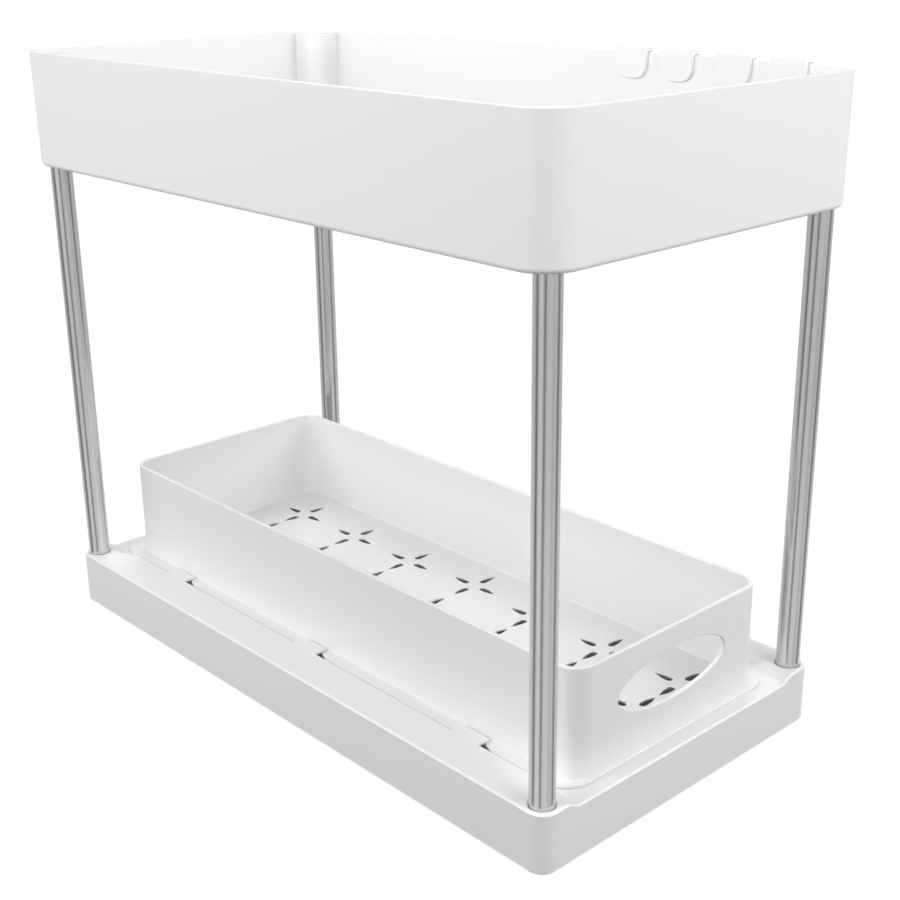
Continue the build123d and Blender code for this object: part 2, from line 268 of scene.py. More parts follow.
class OrganizerHook(bpy.types.PropertyGroup):
    """Clip-on hooks."""

    wall: length("Wall", "Thickness of a hook", 2.0)
    gap: length("Gap", "Room between a hook and the tray's wall", 0.12)
    width: length("Width", "Width of the saddle", 20.5)
    bar: length("Bar", "Thickness of the bar on the rim", 2.4)
    tongue: length("Tongue", "Length of the tongue below the rim", 13.5)
    tongue_corner: length("Tongue corner", "Radius of the tongue's lower corners", 7.5)
    plate: length("Plate", "Length of the full-width plate outside", 10.0)
    arm: length("Arm", "From the rim down to where the arm bends", 22.0)
    arm_width: length("Arm width", "Width of the arm", 10.0)
    throat: length("Throat", "Inner radius of the bend", 6.0)
    tip: length("Tip", "Length of the upright tip", 9.0)
    end_round: length("End rounding", "Rounding of the bar's ends", 2.2)
    edge: length("Edge", "Rounding of all other edges", 0.85)
    dot: length("Dot", "Radius of the ejector mark", 0.9)
    dot_depth: length("Dot depth", "Depth of the ejector mark", 0.15)
    dot_drop: length("Dot drop", "How far the ejector mark lies below the rim", 3.6)
    first: length("First hook", "From the tray's front end to the first hook", 137.0)
    second: length("Second hook", "From the tray's front end to the second hook", 107.5)
    third: length("Third hook", "From the tray's front end to the third hook", 73.0)
    fourth: length("Fourth hook", "From the tray's front end to the fourth hook", 41.5)


class OrganizerStage(bpy.types.PropertyGroup):
    """The camera's place, direction and lens."""

    camera_place: bpy.props.FloatVectorProperty(
        name="Camera place",
        description="Where the camera stands, in the part's frame",
        subtype="TRANSLATION",
        unit="LENGTH",
        default=(-0.49272, -0.55822, 0.39324),
    )
    camera_azimuth: angle("Azimuth", "Direction of view, turned from +Y towards +X", 42.739)
    camera_pitch: angle("Pitch", "Tilt of the view above the horizon", -19.579)
    camera_roll: angle("Roll", "Turn of the camera about its line of sight", -0.659)
    focal_length: bpy.props.FloatProperty(
        name="Focal length",
        description="Lens length on a 36 mm wide sensor, in millimetres",
        default=57.78,
        min=10.0,
    )
    shift: bpy.props.FloatVectorProperty(
        name="Shift",
        description="Lens shift across and up, as shares of the frame's width",
        size=2,
        default=(-0.0025, -0.016),
    )


# ---- Modelling by hand: the small steps that every piece is made with ----


def clear_selection():
    """Leave edit mode and deselect everything, the CAD nodes among it."""
    if bpy.context.mode != "OBJECT":
        bpy.ops.object.mode_set(mode="OBJECT")
    bpy.ops.object.select_all(action="DESELECT")


def take(piece, *others):
    """Select the piece, and others with it, and nothing else."""
    clear_selection()
    for part in (piece, *others):
        part.select_set(True)
    bpy.context.view_layer.objects.active = piece


def edit(piece):
    """Open the piece for editing with all of it selected."""
    take(piece)
    bpy.ops.object.mode_set(mode="EDIT")
    bpy.ops.mesh.select_mode(type="FACE")
    bpy.ops.mesh.select_all(action="SELECT")


def pick(kind, wanted):
    """Select the faces, edges or vertices of the open piece that pass a test.

    The test is given the part's middle and the part itself.
    """
    bpy.ops.mesh.select_mode(type=kind)
    bpy.ops.mesh.select_all(action="DESELECT")
    shape = bpy.context.edit_object.data
    mesh = bmesh.from_edit_mesh(shape)
    middle_of = {
        "VERT": lambda part: part.co,
        "EDGE": lambda part: (part.verts[0].co + part.verts[1].co) / 2,
        "FACE": lambda part: part.calc_center_median(),
    }[kind]
    parts = {"VERT": mesh.verts, "EDGE": mesh.edges, "FACE": mesh.faces}[kind]
    found = 0
    for part in parts:
        if wanted(middle_of(part), part):
            part.select_set(True)
            found += 1
    mesh.select_flush_mode()
    bmesh.update_edit_mesh(shape)
    if not found:
        raise RuntimeError(f"nothing to pick on {bpy.context.edit_object.name}")


def near(value, target, slack=0.02 * MM):
    """Whether two lengths are the same but for rounding."""
    return abs(value - target) < slack


def corner_edge(edge, at_least=50.0):
    """Whether two faces meet at this edge with at least so many degrees between them."""
    return len(edge.link_faces) == 2 and edge.calc_face_angle(0.0) > math.radians(at_least)


def turned_outwards():
    """Turn all faces of the open piece outwards."""
    bpy.ops.mesh.select_all(action="SELECT")
    bpy.ops.mesh.normals_make_consistent(inside=False)


def push(height, widen=(1.0, 1.0)):
    """Extrude what is selected along Z and widen its far end about the piece's middle."""
    bpy.ops.mesh.extrude_region_move(TRANSFORM_OT_translate={"value": (0.0, 0.0, height)})
    if widen != (1.0, 1.0):
        bpy.ops.transform.resize(value=(*widen, 1.0), center_override=(0.0, 0.0, 0.0))


def sized(name, size):
    """Name the primitive just added, give it its size and put both size and place into its mesh."""
    piece = bpy.context.active_object
    piece.name = piece.data.name = name
    piece.scale = size
    bpy.ops.object.transform_apply(location=True, rotation=True, scale=True)
    return piece


def plate(name, width, length, radius, place):
    """Flat sheet with round corners, the start of the moulded pieces."""
    clear_selection()
    bpy.ops.mesh.primitive_plane_add(size=1.0, location=place)
    sheet = sized(name, (width, length, 1.0))
    edit(sheet)
    bpy.ops.mesh.bevel(offset=radius, segments=CORNER_STEPS, affect="VERTICES")
    clear_selection()
    return sheet


def block(name, low, high):
    """Box between two corners, as a cutter or a filling."""
    clear_selection()
    place = [(a + b) / 2 for a, b in zip(low, high)]
    bpy.ops.mesh.primitive_cube_add(size=1.0, location=place)
    return sized(name, [b - a for a, b in zip(low, high)])


def rod(name, radius, bottom, top, place=(0.0, 0.0), sides=COLUMN_SIDES):
    """Upright cylinder, as a cutter or a filling."""
    clear_selection()
    bpy.ops.mesh.primitive_cylinder_add(
        vertices=sides, radius=radius, depth=top - bottom, location=(*place, (top + bottom) / 2)
    )
    return sized(name, (1.0, 1.0, 1.0))


def round_hole(name, half_sizes, depth, lip):
    """Cutter for an oval hole: it stands on z = 0 and flares at both ends, which rounds the lips."""
    half_x, half_y = half_sizes
    clear_selection()
    bpy.ops.mesh.primitive_circle_add(vertices=HOLE_SIDES, radius=1.0, fill_type="NGON")
    cutter = sized(name, (half_x, half_y, 1.0))
    quarter = [math.radians(90 * step / LIP_STEPS) for step in range(LIP_STEPS + 1)]
    curve = [(lip * (1 - math.cos(angle)), lip * (1 - math.sin(angle))) for angle in quarter]
    stations = [*curve, *((depth - along, out) for along, out in reversed(curve)), (depth + 2 * lip, lip)]
    level, spread = -2 * lip, lip
    edit(cutter)
    bpy.ops.transform.translate(value=(0.0, 0.0, level))
    widen = ((half_x + spread) / half_x, (half_y + spread) / half_y)
    bpy.ops.transform.resize(value=(*widen, 1.0), center_override=(0.0, 0.0, 0.0))
    for along, out in stations:
        widen = ((half_x + out) / (half_x + spread), (half_y + out) / (half_y + spread))
        push(along - level, widen)
        level, spread = along, out
    turned_outwards()
    clear_selection()
    return cutter


def joined(name, pieces):
    """Join pieces into one object."""
    take(*pieces)
    bpy.ops.object.join()
    whole = bpy.context.active_object
    whole.name = whole.data.name = name
    return whole


def applied(piece, kind, **settings):
    """Give the piece one modifier and apply it."""
    take(piece)
    modifier = piece.modifiers.new(kind.title(), kind)
    for key, value in settings.items():
        setattr(modifier, key, value)
    bpy.ops.object.modifier_apply(modifier=modifier.name)


def combined(piece, other, operation):
    """Unite the piece with another, or cut the other out of it. The other one is used up."""
    applied(piece, "BOOLEAN", operation=operation, solver="EXACT", object=other)
    bpy.data.objects.remove(other)


def repeated(piece, count, step):
    """Row of copies in one mesh."""
    applied(
        piece, "ARRAY", count=count, use_relative_offset=False, use_constant_offset=True,
        constant_offset_displace=step, use_merge_vertices=False,
    )


def moved(piece, shift):
    """Move the piece's mesh, not its object."""
    edit(piece)
    bpy.ops.transform.translate(value=shift)
    clear_selection()


def four_posts(tube, make):
    """The same round piece at each of the four tubes, in one mesh."""
    places = [(side * tube.half_across, end * tube.half_along) for side in (-1, 1) for end in (-1, 1)]
    return joined("four_posts", [make(place) for place in places])


def drain_stars(drain, rows, middle, pitch_across, bottom, top):
    """Cutter for the drain slots: stars of four leaves with a blunt inner end, in rows round a middle."""
    clear_selection()
    round_end = drain.width / 2
    centre = drain.start + round_end
    bpy.ops.mesh.primitive_circle_add(
        vertices=LEAF_SIDES, radius=round_end, fill_type="NGON", location=(centre, 0.0, bottom)
    )
    stars = sized("drain_stars", (1.0, 1.0, 1.0))
    edit(stars)
    pick("VERT", lambda middle, part: middle.x > centre + SLACK)
    bulge = (drain.end - drain.point - centre) / round_end
    bpy.ops.transform.resize(value=(bulge, 1.0, 1.0), center_override=(centre, 0.0, 0.0))
    pick("VERT", lambda middle, part: middle.x > drain.end - drain.point - SLACK)
    bpy.ops.transform.translate(value=(drain.point, 0.0, 0.0))
    bpy.ops.mesh.select_mode(type="FACE")
    bpy.ops.mesh.select_all(action="SELECT")
    push(top - bottom)
    turned_outwards()
    for _ in range(3):  # the star's other three leaves
        bpy.ops.mesh.duplicate()
        bpy.ops.transform.rotate(value=math.pi / 2, orient_axis="Z", center_override=(0.0, 0.0, 0.0))
    repeated(stars, STAR_COLUMNS, (pitch_across, 0.0, 0.0))
    repeated(stars, rows, (0.0, drain.pitch_along, 0.0))
    first_x = middle[0] - (STAR_COLUMNS - 1) * pitch_across / 2
    first_y = middle[1] - (rows - 1) * drain.pitch_along / 2
    moved(stars, (first_x, first_y, 0.0))
    return stars


def hollowed(level, wall, floor, widen, inner_round):
    """Sink the flat top of the open piece into a tub: a wall all round, and a floor with a rounded edge."""
    pick("FACE", lambda middle, part: near(middle.z, level))
    bpy.ops.mesh.inset(thickness=wall)
    push(floor - level, widen)
    bpy.ops.mesh.bevel(offset=inner_round, segments=INNER_STEPS, affect="EDGES")


def rounded(level, amount, steps, wanted=lambda middle, part: True):
    """Round the corner edges of the open piece that lie at one level."""
    pick("EDGE", lambda middle, part: near(middle.z, level) and corner_edge(part) and wanted(middle, part))
    bpy.ops.mesh.bevel(offset=amount, segments=steps, affect="EDGES")


def finished(piece, body, node, material):
    """Move the piece to the organizer's middle plane, close and smooth it, and set it on its body."""
    moved(piece, (MIDDLE_X, 0.0, 0.0))
    edit(piece)
    bpy.ops.mesh.remove_doubles(threshold=WELD)
    turned_outwards()
    clear_selection()
    take(piece)
    bpy.ops.object.shade_smooth_by_angle(angle=math.radians(SHARP_ABOVE))
    applied(piece, "WEIGHTED_NORMAL", keep_sharp=True)
    piece.data.materials.clear()
    piece.data.materials.append(bpy.data.materials[material])
    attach(piece, body)
    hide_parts(node)


# ---- Materials ----


def fed(tree, node, inputs):
    """Give inputs of a node their values, or links to them."""
    for key, value in inputs.items():
        if isinstance(value, bpy.types.NodeSocket):
            tree.links.new(value, node.inputs[key])
        else:
            node.inputs[key].default_value = value
    return node


def added(tree, kind, inputs=None, **settings):
    """Add a shader node with its settings and inputs."""
    node = tree.nodes.new(f"ShaderNode{kind}")
    for key, value in settings.items():
        setattr(node, key, value)
    return fed(tree, node, inputs or {})


def computed(tree, operation, *values):
    """Result of a maths node."""
    return added(tree, "Math", dict(enumerate(values)), operation=operation).outputs[0]


def mapped(tree, value, before, after):
    """Value moved from one range into another, and held inside it."""
    names = ("Value", "From Min", "From Max", "To Min", "To Max")
    return added(tree, "MapRange", dict(zip(names, (value, *before, *after)))).outputs["Result"]


def new_material(name):
    """Material with nodes, and its node tree."""
    material = bpy.data.materials.new(name)
    material.use_nodes = True
    return material, material.node_tree


def surfaced(tree, shader):
    """Show a shader as the material's surface."""
    fed(tree, tree.nodes["Material Output"], {"Surface": shader.outputs[0]})


def moulded_grain_group():
    """Fine texture of a moulded surface: a height for bump and a small change of roughness."""
    group = bpy.data.node_groups.new("Moulded Grain", "ShaderNodeTree")
    group.interface.new_socket(name="Vector", in_out="INPUT", socket_type="NodeSocketVector")
    inputs = (("Grain Size", 1400.0), ("Patch Size", 26.0), ("Roughness", 0.4), ("Roughness Change", 0.06))
    for name, default in inputs:
        socket = group.interface.new_socket(name=name, in_out="INPUT", socket_type="NodeSocketFloat")
        socket.default_value = default
    for name in ("Height", "Roughness"):
        group.interface.new_socket(name=name, in_out="OUTPUT", socket_type="NodeSocketFloat")
    source = group.nodes.new("NodeGroupInput").outputs
    place = source["Vector"]
    grain = added(group, "TexNoise", {"Vector": place, "Scale": source["Grain Size"], "Detail": 3.0})
    patch = added(group, "TexNoise", {"Vector": place, "Scale": source["Patch Size"], "Detail": 2.0})
    spread = computed(group, "SUBTRACT", patch.outputs["Fac"], 0.5)
    roughness = computed(group, "MULTIPLY_ADD", spread, source["Roughness Change"], source["Roughness"])
    fed(group, group.nodes.new("NodeGroupOutput"), {"Height": grain.outputs["Fac"], "Roughness": roughness})
    return group


def white_plastic(name, colour, roughness, grain_group, grain_depth):
    """Satin white plastic with the moulded grain, which shows more or less by its depth."""
    material, tree = new_material(name)
    place = added(tree, "TexCoord").outputs["Object"]
    inputs = {"Vector": place, "Roughness": roughness}
    grain = added(tree, "Group", inputs, node_tree=grain_group).outputs
    bump = added(tree, "Bump", {"Strength": grain_depth, "Distance": 0.05 * MM, "Height": grain["Height"]})
    fed(tree, tree.nodes["Principled BSDF"], {
        "Base Color": colour, "IOR": 1.5, "Roughness": grain["Roughness"], "Normal": bump.outputs["Normal"],
    })
    return material


def tube_steel(name, colour):
    """Bright stainless steel, with fine drawing lines that run along the tube."""
    material, tree = new_material(name)
    place = added(tree, "TexCoord").outputs["Object"]
    stretched = added(tree, "Mapping", {"Vector": place, "Scale": (1.0, 1.0, 0.01)}).outputs["Vector"]
    lines = added(tree, "TexNoise", {"Vector": stretched, "Scale": 1500.0, "Detail": 4.0}).outputs["Fac"]
    bump = added(tree, "Bump", {"Strength": 0.15, "Distance": 0.02 * MM, "Height": lines})
    fed(tree, tree.nodes["Principled BSDF"], {
        "Base Color": colour, "Metallic": 1.0, "Roughness": mapped(tree, lines, (0.0, 1.0), STEEL_ROUGHNESS),
        "Normal": bump.outputs["Normal"],
    })
    return material


# ---- Operators ----


class ORGANIZER_OT_finishes(bpy.types.Operator):
    """Make the finishes of the plastic and the steel, and give the base its plastic"""

    bl_idname = "organizer.finishes"
    bl_label = "Finishes"

    def execute(self, context):
        colours = context.scene.organizer_colours
        grain, gloss = moulded_grain_group(), colours.plastic_gloss
        white_plastic("White Plastic", colours.plastic, gloss, grain, GRAIN_DEPTH)
        base_plastic = white_plastic(
            "Base Plastic", colours.base_plastic, gloss, grain, BASE_GRAIN_DEPTH
        )
        tube_steel("Drawn Steel", colours.steel)
        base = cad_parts["base_frame"]
        base.data.materials.clear()
        base.data.materials.append(base_plastic)
        return {"FINISHED"}


def copied(piece, name):
    """Copy of the piece with a mesh of its own."""
    take(piece)
    bpy.ops.object.duplicate(linked=False)
    copy = bpy.context.active_object
    copy.name = copy.data.name = name
    return copy


class ORGANIZER_OT_tubes(bpy.types.Operator):
    """Model one steel tube and set a copy of it at each corner"""

    bl_idname = "organizer.tubes"
    bl_label = "Steel Tubes"

    def execute(self, context):
        tube = context.scene.organizer_tube
        clear_selection()
        bpy.ops.mesh.primitive_cylinder_add(
            vertices=TUBE_SIDES, radius=tube.radius, depth=tube.top - tube.bottom, end_fill_type="NOTHING",
            location=(0.0, 0.0, (tube.top + tube.bottom) / 2),
        )
        first = sized("steel_tube", (1.0, 1.0, 1.0))
        applied(first, "SOLIDIFY", thickness=tube.wall, offset=-1.0)
        edit(first)
        bpy.ops.mesh.normals_make_consistent(inside=False)
        pick("EDGE", lambda middle, part: corner_edge(part))
        bpy.ops.mesh.bevel(offset=tube.edge, segments=TUBE_END_STEPS, affect="EDGES")
        for node, (side, end) in TUBE_PLACES.items():
            piece = copied(first, node.replace("post", "tube"))
            moved(piece, (side * tube.half_across, end * tube.half_along, 0.0))
            finished(piece, "frame", node, "Drawn Steel")
        bpy.data.objects.remove(first)
        return {"FINISHED"}


class ORGANIZER_OT_tray(bpy.types.Operator):
    """Model the deep upper tray with its socket columns and drain slots"""

    bl_idname = "organizer.tray"
    bl_label = "Upper Tray"

    def execute(self, context):
        scene = context.scene
        tray, tube, drain = scene.organizer_tray, scene.organizer_tube, scene.organizer_drain
        lean = (1 - 2 * tray.lean / tray.width, 1 - 2 * tray.lean / tray.length)
        shell = plate("upper_tray", tray.width, tray.length, tray.corner, (0.0, 0.0, tray.rim))
        edit(shell)
        push(tray.bottom - tray.rim, lean)
        turned_outwards()
        rounded(tray.bottom, tray.bottom_edge, FILLET_STEPS)
        hollowed(tray.rim, tray.wall, tray.floor, lean, tray.inner_edge)
        rounded(tray.rim, tray.rim_edge, RIM_STEPS)

        # Columns round the tubes, joined to the corners behind them
        foot = tray.floor - SINK
        far, radius = tray.length, tray.column_radius
        columns = four_posts(tube, lambda place: rod("column", radius, foot, tray.column_top, place))
        for sides, ends in ((radius, 0.0), (0.0, radius)):
            fill = plate(
                "corner_fill", tray.width - tray.wall, tray.length - tray.wall, tray.corner - tray.wall / 2,
                (0.0, 0.0, foot),
            )
            edit(fill)
            push(tray.column_top - foot)
            turned_outwards()
            across, along = tube.half_across - sides, tube.half_along - ends
            for half_x, half_y in ((across, far), (far, along)):
                combined(fill, block(
                    "middle", (-half_x, -half_y, foot - CLEAR), (half_x, half_y, tray.rim)
                ), "DIFFERENCE")
            combined(columns, fill, "UNION")
        combined(shell, columns, "UNION")
        edit(shell)
        rounded(tray.column_top, tray.column_edge, RIM_STEPS, lambda middle, edge: edge.is_convex)
        pick("EDGE", lambda middle, edge: (
            not edge.is_convex and corner_edge(edge, at_least=25.0)
            and abs(edge.verts[0].co.z - edge.verts[1].co.z) > tray.corner
        ))
        bpy.ops.mesh.bevel(offset=tray.column_fillet, segments=FILLET_STEPS, affect="EDGES")
        combined(shell, four_posts(tube, lambda place: rod(
            "socket", tray.socket_radius, tray.bottom - CLEAR, tube.top, place
        )), "DIFFERENCE")
        combined(shell, drain_stars(
            drain, STAR_ROWS, (0.0, 0.0), drain.pitch_across, tray.bottom - CLEAR, tray.floor + CLEAR
        ), "DIFFERENCE")
        finished(shell, "frame", "top_tray", "White Plastic")
        return {"FINISHED"}


class ORGANIZER_OT_drawer(bpy.types.Operator):
    """Model the pull-out drawer: its tub, its notched flange, the finger hole and the drain slots"""

    bl_idname = "organizer.drawer"
    bl_label = "Drawer"

    def execute(self, context):
        scene = context.scene
        drawer, drain, tabs = scene.organizer_drawer, scene.organizer_drain, scene.organizer_tabs
        # The rebate under the flange's edge makes the dark line round it
        foot_width = drawer.flange_width - 2 * drawer.relief_depth
        foot_length = drawer.flange_length - 2 * drawer.relief_depth
        flange = plate(
            "pull_out_drawer", foot_width, foot_length,
            drawer.flange_corner * foot_width / drawer.flange_width, (0.0, 0.0, drawer.bottom),
        )
        edit(flange)
        push(drawer.relief_height)
        push(0.0, (drawer.flange_width / foot_width, drawer.flange_length / foot_length))
        push(drawer.flange_top - drawer.bottom - drawer.relief_height)
        turned_outwards()

        # Reliefs in the flange's edge beside the tabs, slanted towards the front
        edge, depth = drawer.flange_width / 2, drawer.notch_depth
        reliefs = []
        for middle_y in (tabs.shift - tabs.pitch, tabs.shift, tabs.shift + tabs.pitch):
            front, back = middle_y - tabs.length / 2, middle_y + tabs.length / 2 - depth
            relief = block(
                "relief", (edge - depth, front, drawer.bottom - CLEAR), (edge + depth, back, drawer.top)
            )
            edit(relief)
            pick("VERT", lambda place, part: place.x > edge and place.y < middle_y)
            bpy.ops.transform.translate(value=(0.0, -2 * tabs.core_margin, 0.0))
            pick("VERT", lambda place, part: place.x > edge and place.y > middle_y)
            bpy.ops.transform.translate(value=(0.0, 2 * depth, 0.0))
            reliefs.append(relief)
        relief = joined("reliefs", reliefs)
        edit(relief)
        bpy.ops.mesh.duplicate()
        bpy.ops.transform.resize(value=(-1.0, 1.0, 1.0), center_override=(0.0, 0.0, 0.0))
        turned_outwards()
        combined(flange, relief, "DIFFERENCE")
        edit(flange)
        rounded(drawer.flange_top, drawer.flange_edge, RIM_STEPS)

        # The tub's front and sides sweep out a little at the foot
        back = drawer.shift + drawer.length / 2
        width, reach = drawer.width + 2 * drawer.side_flare, drawer.length + drawer.front_flare
        tub = plate("tub", width, reach, drawer.corner, (0.0, back - reach / 2, drawer.bottom))
        edit(tub)
        push(drawer.flange_top - drawer.bottom)
        for step in range(1, FLARE_STEPS + 1):
            rest = (1 - step / FLARE_STEPS) ** FLARE_POWER
            next_width = drawer.width + 2 * drawer.side_flare * rest
            next_reach = drawer.length + drawer.front_flare * rest
            push(drawer.flare_height / FLARE_STEPS)
            bpy.ops.transform.resize(
                value=(next_width / width, next_reach / reach, 1.0), center_override=(0.0, back, 0.0)
            )
            width, reach = next_width, next_reach
        push(drawer.top - drawer.flange_top - drawer.flare_height)
        turned_outwards()
        combined(flange, tub, "UNION")
        edit(flange)
        hollowed(drawer.top, drawer.wall, drawer.floor, (1.0, 1.0), drawer.inner_edge)
        rounded(drawer.top, drawer.rim_edge, RIM_STEPS)

        # Finger hole with rounded lips, through the front wall
        hole = round_hole(
            "finger_hole", (drawer.hole_width / 2, drawer.hole_height / 2), drawer.wall, drawer.hole_lip
        )
        edit(hole)
        bpy.ops.transform.translate(value=(0.0, 0.0, -drawer.wall / 2))
        bpy.ops.transform.rotate(value=math.pi / 2, orient_axis="X", center_override=(0.0, 0.0, 0.0))
        front = drawer.shift - (drawer.length - drawer.wall) / 2
        bpy.ops.transform.translate(value=(0.0, front, drawer.hole_middle))
        combined(flange, hole, "DIFFERENCE")

        # The floor is thinner than the flange round it, so its underside lies higher
        margin = drawer.wall + drawer.corner / 2
        half_x, half_y = drawer.width / 2 - margin, drawer.length / 2 - margin
        combined(flange, block(
            "underside",
            (-half_x, drawer.shift - half_y, drawer.bottom - CLEAR),
            (half_x, drawer.shift + half_y, drawer.floor - drawer.skin),
        ), "DIFFERENCE")

        # Drain slots: the middle row is wider and set a little to the right of the others
        side_rows = STAR_ROWS // 2
        middle_y, step = -drain.drawer_shift, (side_rows + 1) / 2 * drain.pitch_along
        low, high = drawer.bottom - CLEAR, drawer.floor + CLEAR
        stars = [
            drain_stars(drain, side_rows, (0.0, middle_y + step), drain.pitch_across, low, high),
            drain_stars(drain, 1, (drain.middle_shift, middle_y), drain.middle_pitch, low, high),
            drain_stars(drain, side_rows, (0.0, middle_y - step), drain.pitch_across, low, high),
        ]
        combined(flange, joined("drain_stars", stars), "DIFFERENCE")
        finished(flange, "drawer", "drawer", "White Plastic")
        return {"FINISHED"}


class ORGANIZER_OT_hooks(bpy.types.Operator):
    """Model one clip-on hook and hang a copy of it at each place on the tray's rim"""

    bl_idname = "organizer.hooks"
    bl_label = "Hooks"

    def execute(self, context):
        hook, tray = context.scene.organizer_hook, context.scene.organizer_tray
        face_x = tray.width / 2 - tray.wall - hook.gap - hook.wall
        top_z = tray.rim + hook.bar
        back_x = tray.width / 2 + hook.gap + hook.wall
        tongue = top_z - tray.rim + hook.tongue

        # A sheet that follows the outer side of the saddle and the inner side of the J
        clear_selection()
        bpy.ops.mesh.primitive_plane_add(
            size=1.0, location=(face_x, 0.0, top_z - tongue / 2), rotation=(0.0, math.pi / 2, 0.0)
        )
        sheet = sized("clip_hook", (tongue, hook.width, 1.0))
        edit(sheet)
        pick("VERT", lambda middle, part: middle.z < top_z - tongue / 2)
        bpy.ops.mesh.bevel(offset=hook.tongue_corner, segments=TONGUE_STEPS, affect="VERTICES")
        pick("EDGE", lambda middle, part: near(middle.z, top_z))
        run = (
            ((back_x - face_x, 0.0, 0.0), 1.0),
            ((0.0, 0.0, -(hook.bar + hook.plate)), 1.0),
            ((0.0, 0.0, -(hook.width - hook.arm_width) / 2), hook.arm_width / hook.width),
            ((0.0, 0.0, -(hook.arm - hook.plate - (hook.width - hook.arm_width) / 2)), 1.0),
        )
        for step, narrow in run:
            bpy.ops.mesh.extrude_region_move(TRANSFORM_OT_translate={"value": step})
            bpy.ops.transform.resize(value=(1.0, narrow, 1.0), center_override=(0.0, 0.0, 0.0))
        bend = (back_x + hook.throat, 0.0, tray.rim - hook.arm)
        bpy.ops.mesh.spin(steps=BEND_STEPS, angle=-math.pi, center=bend, axis=(0.0, 1.0, 0.0))
        bpy.ops.mesh.extrude_region_move(TRANSFORM_OT_translate={"value": (0.0, 0.0, hook.tip)})
        turned_outwards()
        clear_selection()
        applied(sheet, "SOLIDIFY", thickness=hook.wall, offset=HOOK_SIDE, use_even_offset=True)

        edit(sheet)
        bpy.ops.mesh.normals_make_consistent(inside=False)
        inner_z = top_z - hook.wall
        pick("FACE", lambda middle, part: near(middle.z, inner_z) and abs(part.normal.z) > 0.9)
        bpy.ops.transform.translate(value=(0.0, 0.0, tray.rim - inner_z))
        side_y = hook.width / 2 - SLACK
        pick("EDGE", lambda middle, part: near(middle.z, top_z) and abs(middle.y) > side_y)
        bpy.ops.mesh.bevel(offset=hook.end_round, segments=HOOK_END_STEPS, affect="EDGES")
        wall_x = face_x + hook.wall
        pick("EDGE", lambda middle, part: (
            part.is_convex and corner_edge(part, at_least=60.0)
            and not (near(middle.x, wall_x) and middle.z < tray.rim)
        ))
        bpy.ops.mesh.bevel(offset=hook.edge, segments=RIM_STEPS, affect="EDGES")

        dot = rod("dot", hook.dot, -hook.dot_depth, hook.dot_depth, sides=DOT_SIDES)
        edit(dot)
        bpy.ops.transform.rotate(value=math.pi / 2, orient_axis="Y", center_override=(0.0, 0.0, 0.0))
        bpy.ops.transform.translate(value=(face_x, 0.0, tray.rim - hook.dot_drop))
        combined(sheet, dot, "DIFFERENCE")

        for number, distance in enumerate((hook.first, hook.second, hook.third, hook.fourth), start=1):
            piece = copied(sheet, f"clip_hook_{number}")
            moved(piece, (0.0, distance - tray.length / 2, 0.0))
            finished(piece, f"hook_{number}", f"hook_{number}", "White Plastic")
        bpy.data.objects.remove(sheet)
        return {"FINISHED"}


def softbox(name, place, side, watts):
    """Square lamp that looks at the organizer."""
    lamp = bpy.data.lights.new(name, "AREA")
    lamp.shape = "RECTANGLE"
    lamp.size = lamp.size_y = side
    lamp.energy = watts
    light = bpy.data.objects.new(name, lamp)
    bpy.context.scene.collection.objects.link(light)
    light.location = place
    sight = Vector(LAMP_TARGET) - Vector(place)
    light.rotation_euler = sight.to_track_quat("-Z", "Y").to_euler()


def studio_air(name):
    """World that is white to camera, mirror and glass rays. The lamps alone light the object."""
    world = bpy.data.worlds.new(name)
    world.use_nodes = True
    tree = world.node_tree
    rays = added(tree, "LightPath").outputs
    seen = computed(tree, "MAXIMUM", rays["Is Camera Ray"], rays["Is Glossy Ray"])
    seen = computed(tree, "MAXIMUM", seen, rays["Is Transmission Ray"])
    fed(tree, tree.nodes["Background"], {"Color": (1.0, 1.0, 1.0, 1.0), "Strength": seen})
    return world


def under_base(tree, place):
    """1 under the base frame, 0 beside it: two crossed boxes, which leave out its round corners."""
    spot = added(tree, "SeparateXYZ", {0: place}).outputs
    low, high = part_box("base_frame")
    half_x, half_y = (high[0] - low[0]) / 2, (high[1] - low[1]) / 2
    boxes = []
    for inset_x, inset_y in (UNDER_INSET, UNDER_INSET[::-1]):
        in_x = computed(tree, "COMPARE", spot["X"], MIDDLE_X, half_x - inset_x)
        in_y = computed(tree, "COMPARE", spot["Y"], 0.0, half_y - inset_y)
        boxes.append(computed(tree, "MULTIPLY", in_x, in_y))
    return computed(tree, "MAXIMUM", *boxes)


def pale_floor(name):
    """Dark table top to every ray but the camera's, which sees it white, with the object's shadow on it.

    Under the base frame nothing brightens the shadow, and what the lamps see there is darker than the table:
    painted shade that dims the light bounced round under the base and deepens the drain slots' real shadow.
    """
    material, tree = new_material(name)
    place = added(tree, "TexCoord").outputs["Object"]
    under = under_base(tree, place)
    # Painted shade: the table's grey drops to a near-black under the base frame
    table = fed(tree, tree.nodes["Principled BSDF"], {
        "Base Color": mapped(tree, under, (0.0, 1.0), (TABLE_GREY, UNDER_SHADE_GREY)), "Roughness": 0.9,
        "Specular IOR Level": 0.0,
    })
    away = added(tree, "VectorMath", {0: place}, operation="LENGTH").outputs["Value"]
    glow = mapped(tree, away, FLOOR_FADE, (FLOOR_GLOW_SHARE, 1.0))
    glow = computed(tree, "MULTIPLY", glow, computed(tree, "SUBTRACT", 1.0, under))
    shaded = added(tree, "BsdfDiffuse", {"Color": (FLOOR_GREY, FLOOR_GREY, FLOOR_GREY, 1.0)})
    white = added(tree, "Emission", {"Strength": FLOOR_GLOW})
    seen = added(tree, "MixShader", {0: glow, 1: shaded.outputs[0], 2: white.outputs[0]})
    rays = added(tree, "LightPath").outputs
    either = {0: rays["Is Camera Ray"], 1: table.outputs[0], 2: seen.outputs[0]}
    surfaced(tree, added(tree, "MixShader", either))
    return material


